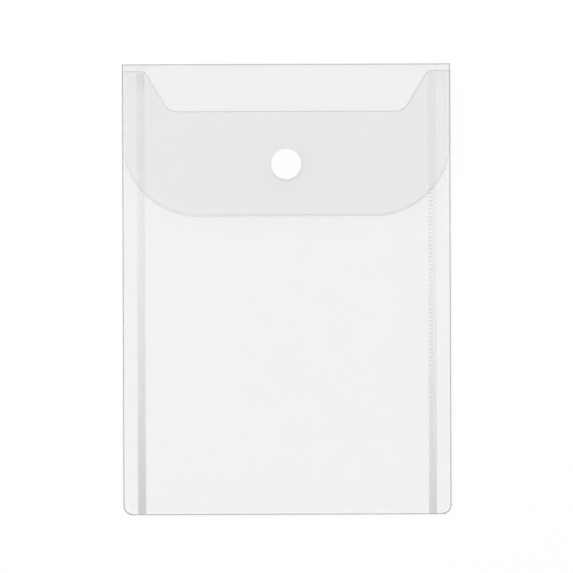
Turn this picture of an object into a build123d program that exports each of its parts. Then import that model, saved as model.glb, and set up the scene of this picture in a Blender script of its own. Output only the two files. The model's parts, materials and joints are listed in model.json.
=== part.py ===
from build123d import *
import math
import os

# A clear film wallet for A4 sheets, lying on its back with the flap closed.
# X runs across the wallet, Y up to the flap's fold and Z out of the front, in millimetres.
# The origin is under the middle of the wallet, on the surface that it lies on.

# The sheet that the pocket takes, and the film that the wallet is folded from
SHEET_WIDTH = 210.0
SHEET_SIDE_CLEARANCE = 1.1
FILM = 0.3
WALLET_HEIGHT = 338.0
BOTTOM_CORNER_RADIUS = 7.0

# Side welds: ribbed seams set in from the edges, where the melt holds front and back together
WELD_WIDTH = 6.0
WELD_MARGIN = 10.9
WELD_THICKNESS = 0.3
WELD_RAIL = 0.8
RIB_PITCH = 3.0
RIB_WIDTH = 1.8

# Pocket: the front film swells from its welds and from the bottom fold to a level field
POCKET_RISE = 5.0
SWELL_RUN = 40.0
FIELD_CORNER_RADIUS = 8.0
BOTTOM_LAND = 3.0

# Top edge of the front film: two side tabs and a wide thumb cut between them
TAB_DROP = 5.25
THUMB_DROP = 35.6
SHOULDER_INSET = 17.0
SHOULDER_RADIUS = 5.5
FOOT_INSET = 35.25
FOOT_RADIUS = 9.75

# Flap, folded over from the back film
FLAP_DEPTH = 114.5
FLAP_CORNER_RADIUS = 57.0
FOLD_CLEARANCE = 0.4
LEVEL_LEAD = 4.0

# Coin closure: a hook disc on the front film, a loop disc under the flap
COIN_DIAMETER = 22.5
COIN_DROP = 75.3
COIN_ADHESIVE = 0.2
COIN_BACKING = 0.4
PILE_INSET = 0.4
HOOK_HEIGHT = 0.7
HOOK_GROUND = 0.2
HOOK_PITCH = 1.6
HOOK_WIDTH = 0.7
LOOP_HEIGHT = 0.6
CLOSURE_CLEARANCE = 0.2

# How far a trimming prism runs past what it trims
OVERRUN = 5.0

# Plan of the wallet
WELD_INNER_X = SHEET_WIDTH / 2 + SHEET_SIDE_CLEARANCE
WALLET_WIDTH = 2 * (WELD_INNER_X + WELD_WIDTH + WELD_MARGIN)
TOP_Y = WALLET_HEIGHT / 2
BOTTOM_Y = -TOP_Y
TAB_Y = TOP_Y - TAB_DROP
THUMB_Y = TOP_Y - THUMB_DROP
COIN_Y = TOP_Y - COIN_DROP
FLAP_TIP_Y = TOP_Y - FLAP_DEPTH

# Heights of the film's undersides, from the back film up
FRONT_Z = FILM + WELD_THICKNESS
FIELD_Z = FRONT_Z + POCKET_RISE
HOOK_Z = FIELD_Z + FILM
HOOK_STACK = COIN_ADHESIVE + COIN_BACKING + HOOK_HEIGHT
LOOP_STACK = COIN_ADHESIVE + COIN_BACKING + LOOP_HEIGHT
FLAP_Z = HOOK_Z + HOOK_STACK + CLOSURE_CLEARANCE + LOOP_STACK

# Bottom fold, from the back film to the front film
BOTTOM_FOLD_INNER = WELD_THICKNESS / 2
BOTTOM_FOLD_OUTER = BOTTOM_FOLD_INNER + FILM
BOTTOM_FOLD_Y = BOTTOM_Y + BOTTOM_FOLD_OUTER

# Swell of the pocket: two equal arcs that meet halfway up
SWELL_TURN = 2 * math.degrees(math.atan2(POCKET_RISE, SWELL_RUN))
SWELL_MID_RADIUS = (SWELL_RUN**2 + POCKET_RISE**2) / (4 * POCKET_RISE)
SWELL_INNER = SWELL_MID_RADIUS - FILM / 2
SWELL_BOTTOM_Y = BOTTOM_FOLD_Y + BOTTOM_LAND
SWELL_CORNER_RADIUS = SWELL_RUN + FIELD_CORNER_RADIUS
SWELL_CORNER_X = WELD_INNER_X - SWELL_CORNER_RADIUS
SWELL_CORNER_Y = SWELL_BOTTOM_Y + SWELL_CORNER_RADIUS

# Flap fold, which clears the front film's tabs, and the arc that brings the flap level above the coin
FOLD_INNER = (FILM + WELD_THICKNESS + FOLD_CLEARANCE) / 2
FOLD_OUTER = FOLD_INNER + FILM
HINGE_Y = TOP_Y - FOLD_OUTER
HINGE_Z = FOLD_OUTER
LEVEL_Y = COIN_Y + COIN_DIAMETER / 2 + LEVEL_LEAD
FLAP_RUN = HINGE_Y - LEVEL_Y
FLAP_RISE = FLAP_Z - HINGE_Z - FOLD_INNER
FLAP_TURN = 2 * math.degrees(math.atan2(FLAP_RISE, FLAP_RUN))
FLAP_ARC_INNER = FOLD_INNER + FLAP_RUN / math.sin(math.radians(FLAP_TURN))


def film_bend(centre, inner_radius, start, turn):
    """Section of film bent round a centre, from the angle start through turn degrees."""
    outer = CenterArc(centre, inner_radius + FILM, start, turn)
    inner = CenterArc(centre, inner_radius, start, turn)
    return make_face([outer, inner, Line(outer @ 0, inner @ 0), Line(outer @ 1, inner @ 1)])


def block(low_x, high_x, low_y, high_y):
    """Flat rectangle between two corners."""
    middle = Pos((low_x + high_x) / 2, (low_y + high_y) / 2)
    return middle * Rectangle(high_x - low_x, high_y - low_y)


def lowest_corners(face):
    """The two corners of a flat face that lie lowest."""
    return face.vertices().sort_by(Axis.Y)[:2]


def across(section):
    """A section in the Y-Z plane carried over the full width of the wallet."""
    return extrude(Plane.YZ * section, WALLET_WIDTH / 2, both=True)


def prism(outline):
    """A trimming prism on a plan outline, taller than the wallet."""
    return Pos(0, 0, -OVERRUN) * extrude(outline, FLAP_Z + FILM + 2 * OVERRUN)


def wallet_outline():
    """Plan of the closed wallet: square at the fold, rounded at the bottom corners."""
    sheet = Rectangle(WALLET_WIDTH, WALLET_HEIGHT)
    return fillet(lowest_corners(sheet), BOTTOM_CORNER_RADIUS)


def flap_outline():
    """Plan of the flap: square at the fold, with large round lower corners."""
    sheet = block(-WALLET_WIDTH / 2, WALLET_WIDTH / 2, FLAP_TIP_Y, TOP_Y)
    return fillet(lowest_corners(sheet), FLAP_CORNER_RADIUS)


def thumb_cut():
    """Plan of the notch in the front film's top edge, with rounded feet."""
    foot_x = WALLET_WIDTH / 2 - FOOT_INSET
    shoulder_x = WALLET_WIDTH / 2 - SHOULDER_INSET
    edge = Polyline((shoulder_x, TAB_Y), (foot_x, THUMB_Y), (-foot_x, THUMB_Y), (-shoulder_x, TAB_Y), close=True)
    cut = make_face(edge)
    return fillet(lowest_corners(cut), FOOT_RADIUS)


def front_outline():
    """Plan of the front film, from the bottom fold to its tabs and thumb cut."""
    sheet = block(-WALLET_WIDTH / 2, WALLET_WIDTH / 2, BOTTOM_FOLD_Y, TAB_Y) & wallet_outline()
    shape = sheet - thumb_cut()
    inner_tops = [v for v in shape.vertices() if v.Y > THUMB_Y and abs(v.X) < WALLET_WIDTH / 2 - WELD_MARGIN]
    shoulders = ShapeList(inner_tops).sort_by(Axis.Y)[-2:]
    return fillet(shoulders, SHOULDER_RADIUS)


def swell_outline(inset, corner_radius):
    """Plan of the swollen part of the front film, open at the top, a distance in from the welds."""
    edge_x = WELD_INNER_X - inset
    sheet = block(-edge_x, edge_x, SWELL_BOTTOM_Y + inset, TOP_Y)
    return fillet(lowest_corners(sheet), corner_radius)


def swell_section():
    """Section of the film's rise from a weld, drawn inwards from the weld's edge."""
    foot = film_bend((0, FILM + SWELL_INNER), SWELL_INNER, -90, SWELL_TURN)
    crest = film_bend((SWELL_RUN, POCKET_RISE - SWELL_INNER), SWELL_INNER, 90, SWELL_TURN)
    return foot + crest


def swell():
    """The film's rise along the two sides, round the lower corners and along the bottom."""
    side_plane = Plane((-WELD_INNER_X, SWELL_CORNER_Y, FRONT_Z), x_dir=(1, 0, 0), z_dir=(0, -1, 0))
    side_section = side_plane * swell_section()
    corner_axis = Axis((-SWELL_CORNER_X, SWELL_CORNER_Y, 0), (0, 0, 1))
    left = extrude(side_section, SWELL_CORNER_Y - TOP_Y) + revolve(side_section, corner_axis, 90)
    bottom_plane = Plane((-SWELL_CORNER_X, SWELL_BOTTOM_Y, FRONT_Z), x_dir=(0, 1, 0), z_dir=(1, 0, 0))
    bottom = extrude(bottom_plane * swell_section(), 2 * SWELL_CORNER_X)
    return left + bottom + mirror(left, Plane.YZ)


def front_panel():
    """Front film: flat margins and welds, the swell, and the level field up to the thumb cut."""
    outline = front_outline()
    margin = Pos(0, 0, FRONT_Z) * extrude(outline - swell_outline(0, SWELL_CORNER_RADIUS), FILM)
    field = Pos(0, 0, FIELD_Z) * extrude(swell_outline(SWELL_RUN, FIELD_CORNER_RADIUS), FILM)
    return (margin + swell() + field) & prism(outline)


def back_panel():
    """Back film, flat between its two folds."""
    sheet = block(-WALLET_WIDTH / 2, WALLET_WIDTH / 2, BOTTOM_FOLD_Y, HINGE_Y)
    return extrude(sheet & wallet_outline(), FILM)


def bottom_fold():
    """The film's turn from the back up to the front."""
    turn = film_bend((BOTTOM_FOLD_Y, BOTTOM_FOLD_OUTER), BOTTOM_FOLD_INNER, 90, 180)
    return across(turn) & prism(wallet_outline())


def flap_fold():
    """The living hinge: the film's turn from the back over to the flap."""
    return across(film_bend((HINGE_Y, HINGE_Z), FOLD_INNER, -90, 180 - FLAP_TURN))


def flap():
    """The flap: an arc that rises from the fold, then level film above the coin to the tip."""
    arc = film_bend((LEVEL_Y, FLAP_Z - FLAP_ARC_INNER), FLAP_ARC_INNER, 90 - FLAP_TURN, FLAP_TURN)
    level = block(FLAP_TIP_Y, LEVEL_Y, FLAP_Z, FLAP_Z + FILM)
    return across(arc + level) & prism(flap_outline())


def weld_seam(side):
    """Melt of one side weld: two rails with ribs across, between the films. Side is -1 or 1."""
    length = TAB_Y - BOTTOM_FOLD_Y
    rib_count = math.floor(length / RIB_PITCH)
    rails = Rectangle(WELD_WIDTH, length) - Rectangle(WELD_WIDTH - 2 * WELD_RAIL, length)
    ribs = GridLocations(0, RIB_PITCH, 1, rib_count) * Rectangle(WELD_WIDTH, RIB_WIDTH)
    middle = Pos(side * (WELD_INNER_X + WELD_WIDTH / 2), (TAB_Y + BOTTOM_FOLD_Y) / 2)
    return Pos(0, 0, FILM) * extrude((middle * (rails + ribs)) & front_outline(), WELD_THICKNESS)


def coin_disc(low_z, thickness, inset=0):
    """One layer of the coin closure."""
    return Pos(0, COIN_Y, low_z) * extrude(Circle(COIN_DIAMETER / 2 - inset), thickness)


def hook_field(low_z):
    """Hooks standing in rows on their ground cloth."""
    ground = coin_disc(low_z, HOOK_GROUND, PILE_INSET)
    reach = COIN_DIAMETER / 2 - PILE_INSET - HOOK_WIDTH
    count = 2 * math.floor(reach / HOOK_PITCH) + 1
    rows = GridLocations(HOOK_PITCH, HOOK_PITCH, count, count)
    places = [place for place in rows if place.position.length < reach]
    hooks = extrude(Sketch() + [place * Rectangle(HOOK_WIDTH, HOOK_WIDTH) for place in places], HOOK_HEIGHT)
    return ground + Pos(0, COIN_Y, low_z) * hooks


def closure_pieces():
    """The hook disc's layers, from the front film up, and the loop disc's, from the flap down."""
    loop_adhesive_z = FLAP_Z - COIN_ADHESIVE
    loop_backing_z = loop_adhesive_z - COIN_BACKING
    return {
        "hook_adhesive": coin_disc(HOOK_Z, COIN_ADHESIVE),
        "hook_backing": coin_disc(HOOK_Z + COIN_ADHESIVE, COIN_BACKING),
        "hook_field": hook_field(HOOK_Z + COIN_ADHESIVE + COIN_BACKING),
        "loop_field": coin_disc(loop_backing_z - LOOP_HEIGHT, LOOP_HEIGHT, PILE_INSET),
        "loop_backing": coin_disc(loop_backing_z, COIN_BACKING),
        "loop_adhesive": coin_disc(loop_adhesive_z, COIN_ADHESIVE),
    }


pieces = {
    "back_panel": back_panel(),
    "bottom_fold": bottom_fold(),
    "front_panel": front_panel(),
    "left_weld_seam": weld_seam(-1),
    "right_weld_seam": weld_seam(1),
    "flap_fold": flap_fold(),
    "flap": flap(),
    **closure_pieces(),
}
os.makedirs("parts", exist_ok=True)
for name, piece in pieces.items():
    export_step(piece, f"parts/{name}.step")
print(f"hinge at y {HINGE_Y:.3f}, z {HINGE_Z:.3f}; flap turns {FLAP_TURN:.2f} degrees, level at z {FLAP_Z:.2f}")
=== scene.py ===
# %% [markdown]
# This lesson dresses a document wallet: one sheet of clear film, folded at the bottom and at the top,
# welded along two ribbed strips at the sides and closed by a white hook-and-loop coin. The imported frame
# holds the sizes and the moving bodies, so every piece here takes its place from the frame.

# %% Load the frame
import json
import math

import bpy
import numpy as np
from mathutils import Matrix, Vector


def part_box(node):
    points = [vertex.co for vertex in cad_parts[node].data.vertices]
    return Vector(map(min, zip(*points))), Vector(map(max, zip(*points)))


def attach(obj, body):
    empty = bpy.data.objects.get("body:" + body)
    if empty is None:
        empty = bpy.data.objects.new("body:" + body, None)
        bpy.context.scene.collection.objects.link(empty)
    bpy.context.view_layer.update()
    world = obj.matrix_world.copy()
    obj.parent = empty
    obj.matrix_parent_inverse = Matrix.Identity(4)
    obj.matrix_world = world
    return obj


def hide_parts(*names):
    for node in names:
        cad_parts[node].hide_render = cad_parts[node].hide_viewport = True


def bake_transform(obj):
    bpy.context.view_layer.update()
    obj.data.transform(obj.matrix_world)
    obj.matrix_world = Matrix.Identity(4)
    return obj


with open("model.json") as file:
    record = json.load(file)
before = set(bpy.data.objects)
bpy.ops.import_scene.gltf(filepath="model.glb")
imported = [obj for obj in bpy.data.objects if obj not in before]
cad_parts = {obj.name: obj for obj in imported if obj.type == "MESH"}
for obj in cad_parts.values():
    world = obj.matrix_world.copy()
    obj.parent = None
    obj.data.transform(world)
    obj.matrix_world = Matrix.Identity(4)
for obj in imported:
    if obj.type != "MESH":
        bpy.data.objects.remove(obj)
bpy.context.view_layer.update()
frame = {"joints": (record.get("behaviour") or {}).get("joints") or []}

# %% [markdown]
# The frame gives most sizes: where the film lies, where it folds, how far the flap reaches. The few that
# can't be read from a box, such as a corner's radius, are written where they are first needed, as a maker
# would say them. Blender counts in metres, so a length in millimetres is multiplied by MM.

# %% Sizes
MM = 0.001


def node_box(name):
    """Lowest and highest corner of one frame node, as arrays."""
    return [np.array(corner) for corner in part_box(name)]


back_low, back_high = node_box("back_panel")
front_low, front_high = node_box("front_panel")
flap_low, flap_high = node_box("flap")
HALF_WIDTH = back_high[0]
FILM = back_high[2] - back_low[2]
BOTTOM_Y = node_box("bottom_fold")[0][1]
BOTTOM_FOLD_Y = back_low[1]
TOP_Y = node_box("flap_fold")[1][1]
TAB_Y = front_high[1]
FRONT_Z = front_low[2]
RISE = front_high[2] - front_low[2] - FILM
FLAP_TIP_Y = flap_low[1]
FLAP_Z = flap_high[2] - FILM
HINGE_Y, HINGE_Z = frame["joints"][0]["pos_m"][1:]
coin_low, coin_high = node_box("loop_backing")
COIN_RADIUS = (coin_high[0] - coin_low[0]) / 2
COIN_Y = (coin_high[1] + coin_low[1]) / 2

print("wallet", round(2 * HALF_WIDTH / MM, 2), "by", round((TOP_Y - BOTTOM_Y) / MM, 2), "mm")

# %% [markdown]
# Every film piece below is a grid of points, with a column for each place across and a row for each height,
# so a shape is a formula on two arrays. An even grid would need far too many points to hold the fine edges.
# A ladder of short steps in from each edge puts the points where they are needed.

# %% Grids and meshes
RIM_LADDER = np.array([0, 0.06, 0.15, 0.28, 0.42, 0.56, 0.75, 1.0, 1.4, 2.0]) * MM
DIGITS = 8
SHARP_ANGLE = math.radians(50)


def places(*runs):
    """Sorted places from runs of (first, last, count), without repeats."""
    return np.unique(np.round(np.concatenate([np.linspace(*run) for run in runs]), DIGITS))


def both_sides(half):
    """Places on the right half and their mirror images on the left."""
    return np.unique(np.round(np.concatenate([-half, half]), DIGITS))


def rows_between(low, high, shares, low_ladder=RIM_LADDER, high_ladder=RIM_LADDER):
    """Heights from low to high in each column: a ladder in from each end, and shares of the rest."""
    first = low + low_ladder[:, None]
    last = high - high_ladder[::-1, None]
    return np.concatenate([first, first[-1] + shares[1:-1, None] * (last[0] - first[-1]), last])


def put_mesh(name, points, faces):
    """A mesh object at the origin from an array of points and lists of faces."""
    mesh = bpy.data.meshes.new(name)
    mesh.from_pydata(points.reshape(-1, 3).tolist(), [], faces)
    mesh.update()
    mesh.shade_smooth()
    mesh.set_sharp_from_angle(angle=SHARP_ANGLE)
    piece = bpy.data.objects.new(name, mesh)
    bpy.context.scene.collection.objects.link(piece)
    return piece


def put_attribute(piece, name, values):
    """One number per point, for the material to read."""
    attribute = piece.data.attributes.new(name, "FLOAT", "POINT")
    attribute.data.foreach_set("value", np.ravel(values).astype(np.float32))


print(len(RIM_LADDER), "rows of points in the last", round(RIM_LADDER[-1] / MM, 2), "mm before an edge")

# %% [markdown]
# Film is thin, but it is not a plane: a hot knife leaves a tiny round bead on every cut edge, and that bead
# is why the outline of a clear wallet shows as a dark line. A film piece is therefore its middle surface,
# moved up and down its own normal by half the thickness, with walls round it. A Solidify modifier would
# give one thickness all over, so the walls are worked out here. Each point also carries an amount of haze,
# which along cut edges and folds is painted shade, and beside cuts a painted highlight.

# %% Film from a grid
BEAD_RADIUS = 0.28 * MM
LEAST_HALF = 0.04 * MM


def bead_half(edge):
    """Half thickness at a distance from the cut edge: the bead's circle, then the flat film."""
    bead = np.sqrt(np.clip(BEAD_RADIUS**2 - (edge - BEAD_RADIUS) ** 2, 0, None))
    inside = np.where(edge < BEAD_RADIUS, bead, np.maximum(bead, FILM / 2))
    return np.clip(inside, LEAST_HALF, None)


def film_piece(name, middle, half, haze):
    """Closed film: the middle surface plus and minus its normal times half the thickness, and the walls."""
    rows, columns = middle.shape[:2]
    normal = np.cross(np.gradient(middle, axis=1), np.gradient(middle, axis=0))
    normal /= np.linalg.norm(normal, axis=2, keepdims=True)
    points = np.concatenate([middle + normal * half[..., None], middle - normal * half[..., None]])
    index = np.arange(rows * columns).reshape(rows, columns)
    corners = [index[:-1, :-1], index[:-1, 1:], index[1:, 1:], index[1:, :-1]]
    upper = np.stack(corners, axis=2).reshape(-1, 4)
    lower = upper[:, ::-1] + rows * columns
    ring = np.concatenate([index[0, :-1], index[:-1, -1], index[-1, :0:-1], index[:0:-1, 0]])
    after = np.roll(ring, -1)
    walls = np.stack([after, ring, ring + rows * columns, after + rows * columns], axis=1)
    piece = put_mesh(name, points, np.concatenate([upper, lower, walls]).tolist())
    # The points' haze is haze, with painted shade along cut edges and folds and painted highlights beside
    # cuts.
    put_attribute(piece, "haze", np.concatenate([haze, haze]))
    print(name, len(piece.data.polygons), "faces")
    return piece


def line_of(distance, width, level=0.0):
    """How strongly a line shows: 1 up to the level distance, then falling smoothly to 0 over the width."""
    share = np.clip(1 - (distance - level) / width, 0, 1)
    return share * share * (3 - 2 * share)


def window(place, low, high, soft):
    """1 between low and high, falling smoothly to 0 over the soft distance outside."""
    return line_of(np.clip(low - place, 0, None), soft) * line_of(np.clip(place - high, 0, None), soft)


print("bead", round(2 * BEAD_RADIUS / MM, 2), "mm thick on film of", round(FILM / MM, 2), "mm")

# %% [markdown]
# The outline of each film is a height for every place across the wallet, so a column of points simply runs
# from the lower outline to the upper one. Lower corners are quarter circles: 7 mm on the pocket and 57 mm
# on the flap. The distance in from the outline is needed too, because the bead and the haze follow it.

# %% Rounded sheets
CORNER_RADIUS = 7 * MM
FLAP_CORNER = 57 * MM


def rounded_low(x, low, radius):
    """Lower outline of a sheet: level, then a quarter circle up to the side edge."""
    past = np.clip(np.abs(x) - (HALF_WIDTH - radius), 0, radius)
    return low + radius - np.sqrt(radius**2 - past**2)


def rounded_edge_distance(x, y, low, radius):
    """Distance in from the side edges, the lower edge and the round corner between them."""
    across = np.abs(x) - (HALF_WIDTH - radius)
    down = low + radius - y
    past = np.hypot(np.clip(across, 0, None), np.clip(down, 0, None))
    return radius - np.where((across > 0) | (down > 0), past, np.maximum(across, down))


def pocket_floor(x):
    """Lower outline of back and front: their round corners, and level where the bottom fold begins."""
    return np.maximum(rounded_low(x, BOTTOM_Y, CORNER_RADIUS), BOTTOM_FOLD_Y)


def side_distance(x, y):
    """Distance in from the side edges and, in the bottom corners, from their quarter circles."""
    round_edge = rounded_edge_distance(x, y, BOTTOM_Y, CORNER_RADIUS)
    return np.where(np.abs(x) > HALF_WIDTH - CORNER_RADIUS, round_edge, HALF_WIDTH - np.abs(x))


print("corners of", round(CORNER_RADIUS / MM, 1), "mm, on the flap", round(FLAP_CORNER / MM, 1), "mm")

# %% [markdown]
# The front film's top edge is cut away so that a thumb can reach the papers. Two tabs stay at the sides,
# and from each a slope runs down to the wide cut. The corners are arcs that touch the lines on both sides,
# as the bent rule of a cutting die makes them. A curve object could draw it, but then the grid would have
# to be trimmed, and a height for each place across needs no trimming.

# %% Thumb cut
THUMB_DROP = 35.6 * MM
SHOULDER_INSET = 17 * MM
SHOULDER_RADIUS = 5.5 * MM
FOOT_INSET = 35.25 * MM
FOOT_RADIUS = 9.75 * MM
THUMB_Y = TOP_Y - THUMB_DROP
SLOPE_TURN = math.atan2(THUMB_DROP - (TOP_Y - TAB_Y), FOOT_INSET - SHOULDER_INSET)
SHOULDER_X = HALF_WIDTH - SHOULDER_INSET
FOOT_X = HALF_WIDTH - FOOT_INSET
SHOULDER_TANGENT = SHOULDER_RADIUS * math.tan(SLOPE_TURN / 2)
FOOT_TANGENT = FOOT_RADIUS * math.tan(SLOPE_TURN / 2)


def front_top(x):
    """Upper outline of the front film from the side inwards: tab, shoulder arc, slope, foot arc, cut."""
    side = np.abs(x)
    shoulder_centre = SHOULDER_X + SHOULDER_TANGENT
    foot_centre = FOOT_X - FOOT_TANGENT
    shoulder_drop = np.sqrt(np.clip(SHOULDER_RADIUS**2 - (side - shoulder_centre) ** 2, 0, None))
    foot_drop = np.sqrt(np.clip(FOOT_RADIUS**2 - (side - foot_centre) ** 2, 0, None))
    return np.select(
        [
            side >= shoulder_centre,
            side >= SHOULDER_X - SHOULDER_TANGENT * math.cos(SLOPE_TURN),
            side >= FOOT_X + FOOT_TANGENT * math.cos(SLOPE_TURN),
            side >= foot_centre,
        ],
        [
            np.full_like(side, TAB_Y),
            TAB_Y - SHOULDER_RADIUS + shoulder_drop,
            THUMB_Y + (side - FOOT_X) * math.tan(SLOPE_TURN),
            THUMB_Y + FOOT_RADIUS - foot_drop,
        ],
        THUMB_Y,
    )


print("thumb cut slopes at", round(math.degrees(SLOPE_TURN), 1), "degrees")

# %% [markdown]
# Back film first, because all else lies on it. It is flat on the table, so the bead of its cut edges is
# kept within its thickness. The bead's dark line is painted shade: it could be painted by the material, but
# it belongs to the place on the piece, so it is painted as haze on the points. The photograph has 0.75 mm
# to a pixel and its edge lines are about a pixel wide: half a millimetre of painted shade just inside the
# cut, and a light line of painted highlight beside it. Above the left tab the welding tool has left a faint
# print.

# %% Back film
WELD_MARGIN = 10.9 * MM
WELD_WIDTH = 6 * MM
WELD_INNER_X = HALF_WIDTH - WELD_MARGIN - WELD_WIDTH
# Painted shade: the dark line of the bead along each cut side edge and along the bottom fold.
SIDE_LINE = (0.2 * MM, 0.55 * MM, 0.2 * MM)
SIDE_PAINTED_SHADE = 0.42
BOTTOM_LINE = 0.8 * MM
BOTTOM_PAINTED_SHADE = 0.42
# Painted highlight: a light line of less haze a little way in from a cut edge.
GLINT_LINE = 0.8 * MM
GLINT_PLACE = 1.6 * MM
PAINTED_GLINT = -0.02
TOOL_PRINT = 0.02
PRINT_SOFT = 0.6 * MM
TAB_SOFT = 1 * MM


def painted_glint_beside(distance):
    """Painted highlight beside a cut: less haze there, so a light line, at its strongest a little way in.
    """
    return PAINTED_GLINT * line_of(np.abs(distance - GLINT_PLACE), GLINT_LINE)


corner_run = HALF_WIDTH - CORNER_RADIUS + CORNER_RADIUS * np.sin(np.linspace(0, math.pi / 2, 14))
side_rim = HALF_WIDTH - RIM_LADDER
strip_run = places((WELD_INNER_X - PRINT_SOFT, WELD_INNER_X + WELD_WIDTH + PRINT_SOFT, 18))
field_run = places((0, WELD_INNER_X, 30))
back_columns = both_sides(np.concatenate([field_run, strip_run, corner_run, side_rim]))
# Where the film only goes on into a fold, fewer steps will do.
fold_ladder = RIM_LADDER[[0, 4, 7, 9]]
back_top = np.full_like(back_columns, HINGE_Y)
back_shares = places((0, 1, 62))
back_y = rows_between(pocket_floor(back_columns), back_top, back_shares, RIM_LADDER, fold_ladder)
back_x = np.broadcast_to(back_columns, back_y.shape)
back_cut = side_distance(back_x, back_y)
back_up = back_y - BOTTOM_Y
back_print_and_painted_light = SIDE_PAINTED_SHADE * window(back_cut, *SIDE_LINE)
back_print_and_painted_light = np.maximum(back_print_and_painted_light, BOTTOM_PAINTED_SHADE * line_of(back_up, BOTTOM_LINE))
back_print_and_painted_light += painted_glint_beside(np.minimum(back_cut, back_up))
above_left_tab = (1 - line_of(back_y - TAB_Y, TAB_SOFT)) * (back_x < 0)
under_tool = window(np.abs(back_x), WELD_INNER_X, WELD_INNER_X + WELD_WIDTH, PRINT_SOFT)
back_print_and_painted_light += TOOL_PRINT * above_left_tab * under_tool
back_middle = np.stack([back_x, back_y, np.full_like(back_y, FILM / 2)], axis=2)
back_film = film_piece("back_film", back_middle, np.minimum(bead_half(back_cut), FILM / 2), back_print_and_painted_light)

# %% [markdown]
# The front film swells a few millimetres between its welds, as a pocket that has held paper does. A cloth
# simulation could blow it up, but stiff film makes a plainer shape, and two arcs give it exactly. Film that
# has been rolled never lies dead flat, so the field also has a slow ripple of a tenth of a millimetre.

# %% Swell and ripple
SWELL_RUN = 40 * MM
FIELD_CORNER = 8 * MM
BOTTOM_LAND = 3 * MM
RIPPLE = 0.1 * MM
RIPPLE_LENGTH = 95 * MM
RIPPLE_WAVES = ((0.9, 0.35, 0.0), (-0.7, 0.5, 1.3), (0.0, 1.1, 2.1))


def swell_height(x, y):
    """Rise of the front film: two equal arcs from the weld's inner edge to the level field, and so round
    the field's corners too."""
    corner = SWELL_RUN + FIELD_CORNER
    across = np.abs(x) - (WELD_INNER_X - corner)
    down = BOTTOM_FOLD_Y + BOTTOM_LAND + corner - y
    past = np.hypot(np.clip(across, 0, None), np.clip(down, 0, None))
    inwards = corner - np.where((across > 0) | (down > 0), past, np.maximum(across, down))
    inwards = np.clip(inwards, 0, SWELL_RUN)
    radius = (SWELL_RUN**2 + RISE**2) / (4 * RISE)
    foot = radius - np.sqrt(radius**2 - np.minimum(inwards, SWELL_RUN / 2) ** 2)
    crest = radius - np.sqrt(radius**2 - np.minimum(SWELL_RUN - inwards, SWELL_RUN / 2) ** 2)
    return np.where(inwards < SWELL_RUN / 2, foot, RISE - crest)


def ripple(x, y):
    """Slow waves: the mean of three sines of about one length, each with its own direction and start."""
    turn = 2 * math.pi / RIPPLE_LENGTH
    waves = [np.sin(turn * (across * x + up * y) + start) for across, up, start in RIPPLE_WAVES]
    return RIPPLE * sum(waves) / len(waves)


def away_from_coin(x, y):
    """0 under the coin, rising smoothly to 1 a coin's width away from it."""
    return 1 - line_of(np.hypot(x, y - COIN_Y) - COIN_RADIUS, 2 * COIN_RADIUS)


print("field rises", round(RISE / MM, 2), "mm over", round(SWELL_RUN / MM, 2), "mm")

# %% [markdown]
# The front film's grid follows its outlines. Its cut top edge shows a finer line of painted shade than the
# sides do, where the edges of two films lie one over the other. Under the flap the film is a little hazier,
# as painted shade of the flap that lies over it.

# %% Front film
# Painted shade: the dark line along the front film's cut top edge.
CUT_LINE = (0.15 * MM, 0.4 * MM, 0.2 * MM)
CUT_PAINTED_SHADE = 0.3
FLAP_PAINTED_SHADE = 0.016
FLAP_SHADE_SOFT = 2.5 * MM

field_end = WELD_INNER_X - SWELL_RUN
cut_start = FOOT_X - 2 * FOOT_TANGENT
cut_run = places((cut_start, SHOULDER_X + 2 * SHOULDER_TANGENT, 44))
swell_run = places((0, field_end, 14), (field_end, cut_start, 12))
front_columns = both_sides(np.concatenate([swell_run, cut_run, corner_run, side_rim]))
front_cut = front_top(front_columns)
front_y = rows_between(pocket_floor(front_columns), front_cut, places((0, 1, 102)))
front_x = np.broadcast_to(front_columns, front_y.shape)
top_slope = np.gradient(front_cut, front_columns)
top_distance = (front_cut - front_y) / np.sqrt(1 + top_slope**2)
front_side = side_distance(front_x, front_y)
front_up = front_y - BOTTOM_Y
front_painted_light = SIDE_PAINTED_SHADE * window(front_side, *SIDE_LINE)
front_painted_light = np.maximum(front_painted_light, CUT_PAINTED_SHADE * window(top_distance, *CUT_LINE))
front_painted_light = np.maximum(front_painted_light, BOTTOM_PAINTED_SHADE * line_of(front_up, BOTTOM_LINE))
front_painted_light += painted_glint_beside(np.minimum(front_side, front_up))
# Painted shade of the flap: a little more haze where the flap lies over the front film.
under_flap = rounded_edge_distance(front_x, front_y, FLAP_TIP_Y, FLAP_CORNER)
front_painted_light += FLAP_PAINTED_SHADE * (1 - line_of(np.clip(under_flap, 0, None), FLAP_SHADE_SOFT))
front_swell = swell_height(front_x, front_y)
front_wave = ripple(front_x, front_y) * (front_swell / RISE) * away_from_coin(front_x, front_y)
front_z = FRONT_Z + FILM / 2 + front_swell + front_wave
front_middle = np.stack([front_x, front_y, front_z], axis=2)
front_half = np.minimum(bead_half(np.minimum(front_side, top_distance)), FILM / 2 + RISE)
front_film = film_piece("front_film", front_middle, front_half, front_painted_light)

# %% [markdown]
# The two folds are the same film bent round. Each is an arc in the side view carried across the width. The
# bottom fold stays still. The flap's fold is the living hinge: it has to turn with the flap, but here it
# rides on neither of the two bodies. Both folds are hazier, as painted shade of the dark line where the
# film bends.

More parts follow.
